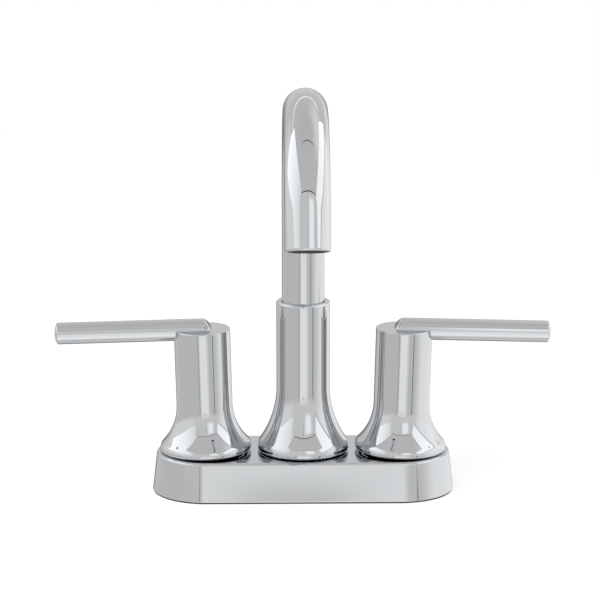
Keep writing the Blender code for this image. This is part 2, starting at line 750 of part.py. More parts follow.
def lever_mesh(side):
    """A round bar lying along X: domed at its tip, cut on a slant at its inner end."""
    dome_radius = (LEVER_RADIUS**2 + LEVER_DOME**2) / (2 * LEVER_DOME)
    half = math.asin((LEVER_RADIUS - LEVER_EDGE) / dome_radius)
    tip = arc(0, LEVER_REACH - dome_radius, dome_radius, math.pi / 2, math.pi / 2 - half, 3)
    shoulder = LEVER_REACH - LEVER_DOME - LEVER_EDGE
    profile = [(0, -HANDLE_RADIUS), *tip]
    profile += [(LEVER_RADIUS, shoulder), (LEVER_RADIUS, -HANDLE_RADIUS)]
    bar = turned(profile, LEVER_SIDES)
    bm = bmesh.new()
    bm.from_mesh(bar)
    bmesh.ops.rotate(bm, verts=bm.verts, matrix=Matrix.Rotation(side * math.pi / 2, 3, "Y"))
    toe = Vector((-side * LEVER_TOE, 0, LEVER_SINK))
    outward = Vector((-side * math.sin(LEVER_SLANT), 0, math.cos(LEVER_SLANT)))
    cut = bmesh.ops.bisect_plane(
        bm,
        geom=bm.verts[:] + bm.edges[:] + bm.faces[:],
        plane_co=toe,
        plane_no=outward,
        clear_outer=True,
    )
    rim = [g for g in cut["geom_cut"] if isinstance(g, bmesh.types.BMEdge)]
    bmesh.ops.holes_fill(bm, edges=rim)
    bmesh.ops.translate(bm, verts=bm.verts, vec=(0, 0, HANDLE_HEIGHT - LEVER_SINK))
    return mesh_from(bm)


def make_handle(side, label, axis):
    """A flared skirt with a solid head, a splined socket and the lever across its top."""
    flare = (HANDLE_RADIUS, HANDLE_FLARE_START, RIM_EQUATOR_HANDLE, HANDLE_RIM_ROUND)
    edge = HANDLE_RADIUS - HANDLE_EDGE, HANDLE_HEIGHT - HANDLE_EDGE
    outer = [(0, HANDLE_HEIGHT), *arc(*edge, HANDLE_EDGE, math.pi / 2, 0, 2)]
    outer += skirt_flare(*flare)
    outer += arc(RIM_RADIUS - RIM_LIP, RIM_EQUATOR_HANDLE, RIM_LIP, 0, -math.pi / 2, 2)[1:]
    outer.append((0, HANDLE_GAP))
    inside = skirt_flare(*flare, SKIRT_WALL, 4, 2)
    socket_top = STEM_TOP + 4 * SEAT_GAP
    hollow = turned(
        [
            (0, -HANDLE_GAP),
            (inside[-1][0], -HANDLE_GAP),
            *inside[::-1],
            (inside[0][0], HANDLE_CAVITY),
            (SOCKET_RADIUS, HANDLE_CAVITY),
            (SOCKET_RADIUS, socket_top),
            (0, socket_top),
        ],
        INNER_SIDES,
    )
    hole = rod(SET_SCREW_RADIUS + SEAT_GAP, 0, HANDLE_RADIUS + LEVER_RADIUS, SCREW_SIDES)
    to_back = Matrix.Rotation(-math.pi / 2, 4, "X")
    placed(hole, Matrix.Translation((0, 0, SET_SCREW_HEIGHT)) @ to_back)
    mesh = carved(turned(outer), add=[lever_mesh(side)], cut=[hollow, hole])
    return add_object(f"handle_{label}", mesh, "chrome", axis)


def make_stem():
    """Splined at the top, grooved for its seal, with a two-lug driver at the bottom."""
    seal = STEM_ORING_HEIGHT
    reach = ORING_SECTION + SEAT_GAP
    depth = STEM_RADIUS - 2 * ORING_SECTION - SEAT_GAP
    shoulder = NECK_TOP + SEAT_GAP
    profile = [
        (0, DRIVER_BOTTOM),
        (DISC_RADIUS, DRIVER_BOTTOM),
        (DISC_RADIUS, DRIVER_TOP),
        (STEM_RADIUS, DRIVER_TOP),
        (STEM_RADIUS, seal - reach),
        (depth, seal - reach),
        (depth, seal + reach),
        (STEM_RADIUS, seal + reach),
        (STEM_RADIUS, shoulder),
        (SPLINE_RADIUS - SPLINE_DEPTH, shoulder),
        (0, shoulder),
    ]
    teeth = []
    for i in range(2 * SPLINE_TEETH):
        radius = SPLINE_RADIUS - SPLINE_DEPTH * (i % 2)
        t = math.pi * i / SPLINE_TEETH
        teeth.append((radius * math.cos(t), radius * math.sin(t)))
    splines = prism(teeth, shoulder - SPLINE_DEPTH, STEM_TOP)
    lug_root = DISC_RADIUS - DRIVER_LUG
    lugs = []
    for side in (1, -1):
        near, far = sorted((side * lug_root, side * (DISC_RADIUS - SPLINE_DEPTH / 2)))
        low = (near, -LUG_WIDTH / 2, MOVING_DISC_BOTTOM + SEAT_GAP)
        lugs.append(block(low, (far, LUG_WIDTH / 2, DRIVER_BOTTOM + DRIVER_THICKNESS / 2)))
    return carved(turned(profile, SMALL_SIDES), add=[splines, *lugs])


def disc(bottom, notched):
    """A ceramic disc with two ports, and on the moving one two notches for the driver."""
    top = bottom + DISC_THICKNESS
    span = (bottom - DISC_THICKNESS, top + DISC_THICKNESS)
    middle = math.pi / 2 if notched else 0.0
    cut = [
        sector(PORT_INNER, PORT_OUTER, angle, PORT_ANGLE, *span, PORT_STEPS)
        for angle in (middle, middle + math.pi)
    ]
    if notched:
        root = DISC_RADIUS - DRIVER_LUG - SEAT_GAP
        half = LUG_WIDTH / 2 + SEAT_GAP
        for side in (1, -1):
            near, far = sorted((side * root, side * 2 * DISC_RADIUS))
            cut.append(block((near, -half, span[0]), (far, half, span[1])))
    return carved(rod(DISC_RADIUS, bottom, top), cut=cut)


def cartridge_mesh():
    profile = [
        (CAVITY_RADIUS, SEAL_TOP + SEAT_GAP),
        (CARTRIDGE_RADIUS, SEAL_TOP + SEAT_GAP),
        (CARTRIDGE_RADIUS, FLANGE_BOTTOM),
        (FLANGE_RADIUS, FLANGE_BOTTOM),
        (FLANGE_RADIUS, FLANGE_TOP),
        (NECK_RADIUS, FLANGE_TOP),
        (NECK_RADIUS, NECK_TOP),
        (STEM_BORE, NECK_TOP),
        (STEM_BORE, CAVITY_TOP),
        (CAVITY_RADIUS, CAVITY_TOP),
    ]
    reach = 2 * CARTRIDGE_RADIUS
    low = (-reach, -DISC_RADIUS / 2, DRIVER_BOTTOM + SEAT_GAP)
    window = block(low, (reach, DISC_RADIUS / 2, CAVITY_TOP - SEAT_GAP))
    return carved(turned(profile, SMALL_SIDES), cut=[window])


def bonnet_mesh():
    """Hexagon nut with chamfered corners: threaded skirt below, lip above the flange."""
    lip = FLANGE_TOP + SEAT_GAP
    bottom = plate_nut_bottom() + PLATE_NUT_HEIGHT + BONNET_RISE
    top = lip + BONNET_LIP
    corner = BONNET_FLATS / math.sqrt(3)
    chamfer = corner - BONNET_FLATS / 2
    rounding = turned(
        [
            (BONNET_FLATS / 2, top),
            (corner, top - chamfer / 2),
            (2 * corner, top - chamfer / 2),
            (2 * corner, top + chamfer),
            (BONNET_FLATS / 2, top + chamfer),
        ],
        SMALL_SIDES,
    )
    bore = turned(
        [
            (0, bottom - BONNET_LIP),
            (THREAD_RADIUS, bottom - BONNET_LIP),
            (THREAD_RADIUS, lip),
            (NECK_RADIUS + RUN_GAP, lip),
            (NECK_RADIUS + RUN_GAP, top + BONNET_LIP),
            (0, top + BONNET_LIP),
        ],
        INNER_SIDES,
    )
    return carved(hexagon(BONNET_FLATS, bottom, top), cut=[rounding, bore])


def plate_nut_bottom():
    """Its leaning underside just clears the flat top of the base plate."""
    return SEAT_GAP + PLATE_NUT_RADIUS * math.tan(VALVE_SPLAY)


def plate_nut_mesh():
    """Slotted ring nut that clamps the base plate onto the barrel."""
    bottom = plate_nut_bottom()
    body = ring(THREAD_RADIUS, PLATE_NUT_RADIUS, bottom, bottom + PLATE_NUT_HEIGHT, INNER_SIDES)
    slots = []
    for i in range(4):
        slot = block(
            (PLATE_NUT_RADIUS - PLATE_NUT_SLOT / 2, -PLATE_NUT_SLOT / 2, -PLATE_NUT_HEIGHT),
            (2 * PLATE_NUT_RADIUS, PLATE_NUT_SLOT / 2, 3 * PLATE_NUT_HEIGHT),
        )
        slots.append(placed(slot, Matrix.Rotation(i * math.pi / 2, 4, "Z")))
    return carved(body, cut=[merged(slots)])


def set_screw_mesh():
    """Headless screw lying along +Y, with a hexagon socket in its outer end."""
    inner = SPLINE_RADIUS + SEAT_GAP
    outer = inner + SET_SCREW_LENGTH
    body = rod(SET_SCREW_RADIUS, inner, outer, SCREW_SIDES)
    socket = hexagon(HEX_KEY, outer - SET_SCREW_LENGTH / 3, outer + SET_SCREW_LENGTH)
    mesh = carved(body, cut=[socket])
    to_back = Matrix.Rotation(-math.pi / 2, 4, "X")
    return placed(mesh, Matrix.Translation((0, 0, SET_SCREW_HEIGHT)) @ to_back)


def wing_nut_mesh():
    """Plastic nut with four wings, threaded on a shank under the deck."""
    top = -DECK_THICKNESS - WASHER_THICKNESS - 2 * SEAT_GAP
    bottom = top - WING_NUT_HEIGHT
    bore = SHANK_RADIUS + RUN_GAP
    body = ring(bore, WING_NUT_RADIUS, bottom, top, INNER_SIDES)
    wings = []
    for i in range(4):
        wing = block(
            (bore + WING_THICKNESS / 2, -WING_THICKNESS / 2, bottom),
            (WING_SPAN, WING_THICKNESS / 2, top - WING_THICKNESS),
        )
        wings.append(placed(wing, Matrix.Rotation((i + 0.5) * math.pi / 2, 4, "Z")))
    return carved(body, add=wings)


def make_valves():
    """Everything that stands on or hangs from the two valve axes."""
    seal = turned(
        [
            (INLET_BORE, SEAL_BOTTOM),
            (CARTRIDGE_RADIUS, SEAL_BOTTOM),
            (CARTRIDGE_RADIUS, SEAL_TOP),
            (DISC_RADIUS, SEAL_TOP),
            (DISC_RADIUS, SEAL_TOP + SEAT_GAP),
            (INLET_BORE, SEAL_TOP + SEAT_GAP),
        ],
        SMALL_SIDES,
    )
    shared = {
        "seat_seal": (seal, "black_rubber"),
        "fixed_disc": (disc(FIXED_DISC_BOTTOM, False), "white_ceramic"),
        "moving_disc": (disc(MOVING_DISC_BOTTOM, True), "white_ceramic"),
        "cartridge_body": (cartridge_mesh(), "grey_acetal"),
        "valve_stem": (make_stem(), "brass"),
        "stem_oring": (
            o_ring(STEM_RADIUS - ORING_SECTION, ORING_SECTION, STEM_ORING_HEIGHT),
            "black_rubber",
        ),
        "bonnet_nut": (bonnet_mesh(), "brass"),
        "plate_nut": (plate_nut_mesh(), "brass"),
        "set_screw": (set_screw_mesh(), "steel"),
    }
    washer_top = -DECK_THICKNESS - SEAT_GAP
    washer_bottom = washer_top - WASHER_THICKNESS
    washer = ring(SHANK_RADIUS + RUN_GAP, WASHER_RADIUS, washer_bottom, washer_top, INNER_SIDES)
    nut = wing_nut_mesh()
    for side, label in ((-1, "left"), (1, "right")):
        axis = bpy.data.objects.new(f"{label}_valve_axis", None)
        bpy.context.scene.collection.objects.link(axis)
        axis.matrix_world = valve_frame(side)
        for name, (mesh, look) in shared.items():
            add_object(f"{name}_{label}", mesh, look, axis)
        make_handle(side, label, axis)
        place = (side * HALF_SPACING, 0, 0)
        add_object(f"shank_washer_{label}", washer, "steel", at=place)
        add_object(f"mounting_nut_{label}", nut, "white_acetal", at=place)


def main():
    clear_scene()
    make_plate()
    make_gasket()
    make_valve_body()
    make_valves()
    make_post()
    make_post_seal()
    make_spout_tube()
    make_spout_fittings()
    make_aerator()


main()
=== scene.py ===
# %% [markdown]
# # A centerset bathroom faucet in polished chrome
#
# This lesson dresses the CAD model of a small basin faucet for a studio picture. Nearly all
# that shows is chrome plate, and a mirror has no colour of its own: it looks right when its
# surface is smooth and when there is something worth reflecting around it. So the visible
# metal is modelled again with fine, even rings, and the studio is built with as much care.

import math

import bpy
from mathutils import Matrix, Vector


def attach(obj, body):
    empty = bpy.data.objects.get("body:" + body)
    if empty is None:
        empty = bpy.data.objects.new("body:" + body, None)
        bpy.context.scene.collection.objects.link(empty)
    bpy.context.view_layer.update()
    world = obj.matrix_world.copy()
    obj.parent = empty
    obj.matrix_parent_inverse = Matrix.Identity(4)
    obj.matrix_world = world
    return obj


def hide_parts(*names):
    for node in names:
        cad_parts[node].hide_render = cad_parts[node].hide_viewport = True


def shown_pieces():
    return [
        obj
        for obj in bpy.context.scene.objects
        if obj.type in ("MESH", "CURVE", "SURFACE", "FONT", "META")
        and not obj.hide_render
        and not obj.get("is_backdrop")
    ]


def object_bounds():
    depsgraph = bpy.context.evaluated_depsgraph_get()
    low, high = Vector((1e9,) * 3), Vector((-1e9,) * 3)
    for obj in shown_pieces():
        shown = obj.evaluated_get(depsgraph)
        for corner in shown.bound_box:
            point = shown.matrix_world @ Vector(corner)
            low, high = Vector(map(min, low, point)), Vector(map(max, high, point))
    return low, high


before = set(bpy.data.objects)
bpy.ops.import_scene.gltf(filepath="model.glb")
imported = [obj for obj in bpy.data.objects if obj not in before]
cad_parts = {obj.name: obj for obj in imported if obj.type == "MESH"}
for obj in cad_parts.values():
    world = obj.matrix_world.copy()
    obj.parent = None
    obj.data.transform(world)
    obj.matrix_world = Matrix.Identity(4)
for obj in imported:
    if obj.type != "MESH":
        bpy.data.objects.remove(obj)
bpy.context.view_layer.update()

# %% [markdown]
# ## Sizes
#
# The real faucet is drilled for valves four inches apart, and all other sizes follow from
# that. Lengths are written in millimetres and multiplied by `mm`, because Blender works in
# metres. Both valve axes lean outwards by a degree and a half, so each handle is built
# upright and then leaned over the point where its axis leaves the base plate. The numbers of
# sides are high, because every facet would show as a break in a reflection.

# %% Sizes
mm = 0.001
valve_x = 50.8 * mm
valve_lean = math.radians(1.5)
pivot_height = 20.6 * mm
plate_top = 21.05 * mm
plate_draft = math.radians(6.6)
rim_radius = 23.9 * mm
rim_lip = 1.5 * mm
skirt_wall = 2.2 * mm
post_radius = 13.9 * mm
post_top = 101.0 * mm
tube_radius = 11.0 * mm
arch_radius = 54.4 * mm
arch_centre = Vector((0, -arch_radius, 153.4 * mm))
outlet_tilt = math.radians(16)
arch_turn = math.pi - outlet_tilt
leg_length = 19.4 * mm
handle_radius = 14.6 * mm
handle_top = 65.7 * mm
seat_gap = 0.3 * mm
turned_sides = 128
tube_sides = 96
crown = arch_centre.z + arch_radius + tube_radius
print("the spout's crown is", round(crown / mm, 1), "mm above the deck")

# %% [markdown]
# ## Small tools
#
# Three helpers keep the steps short. The first leaves nothing selected, because the CAD
# parts arrive selected and an operator acts on all that is selected. The second finishes a
# piece: it puts the object's place into its mesh, welds doubles, points the faces outwards
# and shades the surface smooth, with crisp edges where the form turns sharply. The third
# gives the points of an arc, which most of the profiles below use.


# %% Small tools
weld_distance = 0.002 * mm


def clear_selection():
    if bpy.context.mode != "OBJECT":
        bpy.ops.object.mode_set(mode="OBJECT")
    bpy.ops.object.select_all(action="DESELECT")


def tidy_piece(name, crisp=math.radians(32)):
    piece = bpy.context.object
    piece.name = piece.data.name = name
    bpy.ops.object.transform_apply(location=True, rotation=True, scale=True)
    bpy.ops.object.mode_set(mode="EDIT")
    bpy.ops.mesh.select_all(action="SELECT")
    bpy.ops.mesh.remove_doubles(threshold=weld_distance)
    bpy.ops.mesh.normals_make_consistent(inside=False)
    bpy.ops.object.mode_set(mode="OBJECT")
    bpy.ops.object.shade_smooth_by_angle(angle=crisp)
    print(name, len(piece.data.polygons), "faces")
    return piece


def arc(centre_r, centre_z, radius, start, end, steps):
    turns = [start + (end - start) * i / steps for i in range(steps + 1)]
    return [
        (centre_r + radius * math.cos(t), centre_z + radius * math.sin(t)) for t in turns
    ]


print("points closer than", round(weld_distance / mm, 3), "mm are welded")

# %% [markdown]
# ## Growing a turned shape
#
# Every main form here is turned: the post, the skirts and the handles. The Spin operator
# could turn a drawn profile, and a Screw modifier could do the same live. Growing the shape
# ring by ring, as a potter would, is used instead: one circle is extruded and scaled for
# each point of the profile, so the radius and height of every ring are exactly known.
#
# A mirror finish shows the smallest error in shading. Where a long straight wall meets a
# tight rounding, Blender would blend the two normals over the whole wall and bend its
# reflections, so each long run gets a guard ring a quarter of a millimetre from either end.

# %% Growing a turned shape
guard = 0.25 * mm


def with_guards(profile):
    """Adds a ring close to both ends of each straight run longer than six guards."""
    rings = [profile[0]]
    for (r0, z0), (r1, z1) in zip(profile, profile[1:]):
        run = math.hypot(r1 - r0, z1 - z0)
        if run > 6 * guard:
            for share in (guard / run, 1 - guard / run):
                rings.append((r0 + (r1 - r0) * share, z0 + (z1 - z0) * share))
        rings.append((r1, z1))
    return rings


def grow_ring(lift, scale, centre):
    """Extrudes the selected ring, moves it and scales it about its own centre."""
    bpy.ops.mesh.extrude_region_move(TRANSFORM_OT_translate={"value": lift})
    if abs(scale - 1) > 1e-9:
        bpy.ops.transform.resize(value=(scale, scale, scale), center_override=centre)


def grow_turned(profile, sides):
    """Grows a circle into a turned shape and stays in edit mode with the last ring selected."""
    rings = with_guards(profile)
    clear_selection()
    bpy.ops.mesh.primitive_circle_add(
        vertices=sides, radius=rings[0][0], location=(0, 0, rings[0][1])
    )
    bpy.ops.object.transform_apply(location=True)
    bpy.ops.object.mode_set(mode="EDIT")
    for (r0, z0), (r1, z1) in zip(rings, rings[1:]):
        grow_ring((0, 0, z1 - z0), r1 / r0, (0, 0, z1))


def join_ends():
    """Bridges the two open rims of a grown shape, so that its profile closes on itself."""
    bpy.ops.mesh.select_all(action="DESELECT")
    bpy.ops.mesh.select_non_manifold(extend=False)
    bpy.ops.mesh.bridge_edge_loops()


def cap_ends():
    """Fills the two open rims of a grown shape with flat faces."""
    bpy.ops.mesh.select_all(action="DESELECT")
    bpy.ops.mesh.select_non_manifold(extend=False)
    bpy.ops.mesh.edge_face_add()


print("guard rings stand", round(guard / mm, 2), "mm from each end")

# %% [markdown]
# ## Boolean tools
#
# Some shapes are easier with a second body: the holes in the plate, the hole for the set
# screw, the lever that is fused to its handle. `modifier_apply` makes the result permanent
# and the second body is removed. The exact solver is slower and copes with faces that touch.


# %% Boolean tools
def combine(piece, other, operation):
    clear_selection()
    bpy.context.view_layer.objects.active = piece
    piece.select_set(True)
    modifier = piece.modifiers.new(operation.title(), "BOOLEAN")
    modifier.operation = operation
    modifier.solver = "EXACT"
    modifier.object = other
    bpy.ops.object.modifier_apply(modifier=modifier.name)
    bpy.data.objects.remove(other, do_unlink=True)


def cutting_rod(radius, length, location, rotation=(0, 0, 0)):
    clear_selection()
    bpy.ops.mesh.primitive_cylinder_add(
        vertices=48, radius=radius, depth=length, location=location, rotation=rotation
    )
    return bpy.context.object


print("tools ready: combine and cutting_rod")

# %% [markdown]
# ## Base plate
#
# On the real faucet this is a zinc or brass die casting, hollow below, with drafted sides so
# that it leaves its mould, and a small rounding along its top edge. Its outline is two half
# circles joined by straight sides. A box with rounded corners would be the obvious start,
# but a bevel that wide pinches at the ends. Here a round dish is grown first, and then its
# left and right halves are pulled apart, so the ends stay perfectly round.

# %% Base plate
plate_end = 29.3 * mm
plate_half_length = 78.9 * mm
plate_pull = plate_half_length - plate_end
plate_wall = 2.5 * mm
plate_edge = 1.2 * mm
# the chrome wall stops this far above the deck, where the dark strip paints the shadow line
plate_foot = 0.6 * mm
foot_round = 0.5 * mm
plate_sides = 160
edge_steps = 8
post_opening = 11.8 * mm
valve_opening = 11.4 * mm
through_plate = 30 * mm


def side_radius(z, inward=0.0):
    return plate_end - inward - z * math.tan(plate_draft)


def pull_ends_apart():
    """Turns the round shape to an even seam and moves its left and right halves outwards."""
    bpy.ops.object.mode_set(mode="OBJECT")
    bpy.context.object.rotation_euler.z = math.pi / plate_sides
    bpy.ops.object.transform_apply(rotation=True)
    for side in (-1, 1):
        bpy.ops.object.mode_set(mode="EDIT")
        bpy.ops.mesh.select_all(action="DESELECT")
        bpy.ops.object.mode_set(mode="OBJECT")
        for vertex in bpy.context.object.data.vertices:
            vertex.select = vertex.co.x * side > 0
        bpy.ops.object.mode_set(mode="EDIT")
        bpy.ops.transform.translate(value=(side * plate_pull, 0, 0))
    bpy.ops.object.mode_set(mode="OBJECT")


inner_top = plate_top - plate_wall
profile = [
    (side_radius(inner_top, plate_wall), inner_top),
    (side_radius(plate_foot, plate_wall), plate_foot),
]
foot_r = side_radius(foot_round + plate_foot, foot_round)
profile += arc(foot_r, plate_foot + foot_round, foot_round, -math.pi / 2, 0, 6)
for i in range(edge_steps + 1):
    t = math.radians(90 * i / edge_steps)
    z = plate_top - plate_edge * (1 - math.sin(t))
    profile.append((side_radius(z, plate_edge * (1 - math.cos(t))), z))
profile.append((profile[-1][0] - 2 * guard, plate_top))
grow_turned(profile, plate_sides)
cap_ends()
pull_ends_apart()
plate = bpy.context.object
combine(plate, cutting_rod(post_opening, through_plate, (0, 0, plate_top)), "DIFFERENCE")
for side in (-1, 1):
    place = (side * valve_x, 0, plate_top)
    opening = cutting_rod(valve_opening, through_plate, place, (0, side * valve_lean, 0))
    combine(plate, opening, "DIFFERENCE")
plate = tidy_piece("base_plate_cover")
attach(plate, "base")
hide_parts("base_plate")

# %% [markdown]
# ### A dark strip for the shadow under the plate
#
# A soft black gasket lies in the hollow of the plate and keeps water out of the deck's holes.
# The thin dark line below the chrome is the shadow in the narrow gap where the plate meets the
# deck. A strip of black rubber below the plate's wall paints that shadow, as if the gasket
# were squeezed out. A strip casts its own shadow and is seen from every side, unlike a dark
# stripe in the plate's material, and it is grown and pulled apart like the plate.

# %% A dark strip for the shadow under the plate
# a black rubber strip that paints the shadow in the gap under the plate
strip_inset = 0.45 * mm
strip_out, strip_in = plate_end - strip_inset, plate_end - plate_wall
profile = [(strip_in, 0), (strip_out, 0), (strip_out, plate_foot), (strip_in, plate_foot)]
grow_turned(profile, plate_sides)
join_ends()
pull_ends_apart()
shadow_line_strip = tidy_piece("deck_shadow_line_strip")
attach(shadow_line_strip, "base")

# %% [markdown]
# ## The flared skirts
#
# The post and both handles widen into the same bell: a long hollow curve that leaves the
# neck without a break and then turns over a round rim. Two arcs that share a tangent give
# exactly that, and their angle follows from how far the skirt spreads and drops. The fine
# steps matter, because this curve squeezes the whole room into a few thin lines.


# %% The flared skirts
def skirt(neck, start, equator, rim_round, inward=0.0, steps=26):
    """Points from the neck down to the widest circle of the rim."""
    spread, drop = rim_radius - neck, start - equator
    turn = 2 * math.atan2(spread, drop)
    hollow = drop / math.sin(turn) - rim_round
    upper = arc(neck + hollow, start, hollow + inward, math.pi, math.pi + turn, steps)
    lower = arc(rim_radius - rim_round, equator, rim_round - inward, turn, 0.0, 10)
    return upper + lower[1:]


print("every skirt spreads to", round(2 * rim_radius / mm, 1), "mm across")

# %% [markdown]
# ## Spout post
#
# The post is a turned brass cover that screws down over the hub. Its upper edge is rounded
# and stands a hair's breadth off the tube. A lathe would cut the outside and the bore in two
# passes, and the profile does the same in one: the seen side comes first, from the collar
# down to the rim, and then it runs back up inside, past the groove of the seal, the threaded
# web and the pocket of the bushing.

# %% Spout post
post_shoulder = 1.0 * mm
post_flare_start = 55.4 * mm
post_rim_round = 8.4 * mm
foot = plate_top + seat_gap
rim_z = foot + rim_lip
web_thickness = 4.0 * mm
web_top = rim_z + web_thickness
seal_out, seal_in = 19.8 * mm, 16.8 * mm
collar = 11.3 * mm
collar_break = 0.3 * mm
pocket, pocket_low, pocket_high = 12.4 * mm, 89.7 * mm, 99.3 * mm
outside = arc(
    post_radius - post_shoulder, post_top - post_shoulder, post_shoulder, math.pi / 2, 0, 8
)
outside += skirt(post_radius, post_flare_start, rim_z, post_rim_round)
outside += arc(rim_radius - rim_lip, rim_z, rim_lip, 0, -math.pi / 2, 8)[1:]
inside = skirt(post_radius, post_flare_start, rim_z, post_rim_round, skirt_wall, 12)
inside = [point for point in inside if point[1] > web_top]
profile = outside + [
    (seal_out, foot),
    (seal_out, rim_z),
    (seal_in, rim_z),
    (seal_in, foot),
    (collar, foot),
    (collar, web_top),
    (inside[-1][0], web_top),
    *inside[::-1],
    (inside[0][0], pocket_low),
    (pocket, pocket_low),
    (pocket, pocket_high),
    (collar, pocket_high),
    (collar, post_top - collar_break),
    (collar + collar_break, post_top),
]
grow_turned(profile, turned_sides)
join_ends()
bpy.ops.object.mode_set(mode="OBJECT")
post = tidy_piece("spout_post_cover")
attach(post, "base")
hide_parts("spout_post")

# %% [markdown]
# ## Gooseneck
#
# A real gooseneck is a straight brass tube bent round a former and then plated, with a
# turned spigot soldered into its foot. A curve with a round bevel would sweep it too. Here
# one ring is extruded up out of the post and spun round the bend, as the tube itself runs,
# because that keeps every ring square to the bend and evenly spaced. Spin turns clockwise
# about its axis, so the axis points to the left to carry the ring forwards.

# %% The spigot and the outside of the bend
lip = 1.0 * mm
leg_way = Vector((0, -math.sin(outlet_tilt), -math.cos(outlet_tilt)))
foot_z = 19.4 * mm
shoulder = 51.4 * mm
spigot_radius, spigot_nose, spigot_bore = 8.5 * mm, 7.5 * mm, 5.4 * mm
# height, half width and inner radius of the grooves of the two O-rings and the snap ring
spigot_grooves = (
    (22.6 * mm, 1.1 * mm, 6.6 * mm),
    (29.0 * mm, 1.1 * mm, 6.6 * mm),
    (42.44 * mm, 1.3 * mm, 7.5 * mm),
)
outer_steps, inner_steps, lip_steps = 96, 48, 8

profile = [(spigot_bore, foot_z), (spigot_nose, foot_z), (spigot_radius, foot_z + lip)]
for height, half, depth in spigot_grooves:
    low, high = height - half, height + half
    profile += [(spigot_radius, low), (depth, low), (depth, high), (spigot_radius, high)]
profile += [(spigot_radius, shoulder), (tube_radius, shoulder), (tube_radius, arch_centre.z)]
grow_turned(profile, tube_sides)
bpy.ops.mesh.spin(
    steps=outer_steps, angle=arch_turn, center=arch_centre, axis=(-1, 0, 0), use_auto_merge=False
)
print("bent through", round(math.degrees(arch_turn)), "degrees")

# %% [markdown]
# ### The short leg, the mouth and the waterway
#
# The spun ring goes on down the leg. Its lip is rolled inwards, and the ring steps into the
# wide mouth that holds the aerator, narrows to the waterway and follows the bend back to the
# foot. A Solidify modifier could give the wall, but not two different bores.

# %% The short leg, the mouth and the waterway
bend_end = arch_centre + arch_radius * Vector((0, math.cos(arch_turn), math.sin(arch_turn)))
outlet = bend_end + leg_way * leg_length
grow_ring(leg_way * guard, 1, outlet)
grow_ring(leg_way * (leg_length - lip - 2 * guard), 1, outlet)
grow_ring(leg_way * guard, 1, outlet)
last_radius, last_run = tube_radius, leg_length - lip
for i in range(1, lip_steps + 1):
    t = math.radians(90 * i / lip_steps)
    radius = tube_radius - lip * (1 - math.cos(t))
    run = leg_length - lip * (1 - math.sin(t))
    grow_ring(leg_way * (run - last_run), radius / last_radius, bend_end + leg_way * run)
    last_radius, last_run = radius, run
mouth, waterway, mouth_depth = 9.4 * mm, 6.4 * mm, 13.2 * mm
grow_ring((0, 0, 0), mouth / last_radius, outlet)
grow_ring(-leg_way * mouth_depth, 1, outlet)
grow_ring((0, 0, 0), waterway / mouth, outlet - leg_way * mouth_depth)
grow_ring(-leg_way * (leg_length - mouth_depth), 1, outlet)
bpy.ops.mesh.spin(
    steps=inner_steps, angle=-arch_turn, center=arch_centre, axis=(-1, 0, 0), use_auto_merge=False
)
grow_ring((0, 0, shoulder - arch_centre.z), spigot_bore / waterway, (0, 0, shoulder))
grow_ring((0, 0, foot_z - shoulder), 1, (0, 0, foot_z))
bpy.ops.object.mode_set(mode="OBJECT")
gooseneck = tidy_piece("gooseneck_tube")

# %% [markdown]
# ### The groove of the stop pin
#
# A pin in the post reaches into a groove round the back of the tube's foot, and the ends of
# the groove stop the spout at sixty degrees to either side. A full ring is grown first, and
# two bisects through the axis leave the sector that is then cut away.

# %% The groove of the stop pin
groove_reach = math.radians(71.9)
groove_low, groove_high = 34.54 * mm, 37.54 * mm
groove_in, groove_out = 7.3 * mm, 9.5 * mm
profile = [
    (groove_in, groove_low),
    (groove_out, groove_low),
    (groove_out, groove_high),
    (groove_in, groove_high),
]
grow_turned(profile, tube_sides)
join_ends()
for side in (-1, 1):
    bpy.ops.mesh.select_all(action="SELECT")
    bpy.ops.mesh.bisect(
        plane_co=(0, 0, groove_low),
        plane_no=(side * math.cos(groove_reach), -math.sin(groove_reach), 0),
        use_fill=True,
        clear_outer=True,
    )
bpy.ops.object.mode_set(mode="OBJECT")
combine(gooseneck, bpy.context.object, "DIFFERENCE")
gooseneck = tidy_piece("gooseneck_tube")
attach(gooseneck, "spout")
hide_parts("spout_tube")

# %% [markdown]
# ## Handles
#
# Each handle is one casting: a skirt, a round head with a flat top, and a plain round bar
# that lies across the head like a pencil in a groove. The bar's outer end is slightly domed,
# and its inner end is cut on a slant just past the middle, with its edge well rounded. A
# long cylinder could be scaled and cut by hand. Here the bar is grown standing up, so that
# its dome is true, then laid over, bisected on the slant and bevelled along the cut.

# %% Lever bar
lever_radius = 5.65 * mm
lever_reach = 76.3 * mm
lever_dome = 1.3 * mm
lever_edge = 0.5 * mm
lever_sink = 0.45 * mm
lever_height = handle_top - lever_sink
lever_toe = 5.0 * mm
slant = math.radians(59)
slant_round = 1.5 * mm


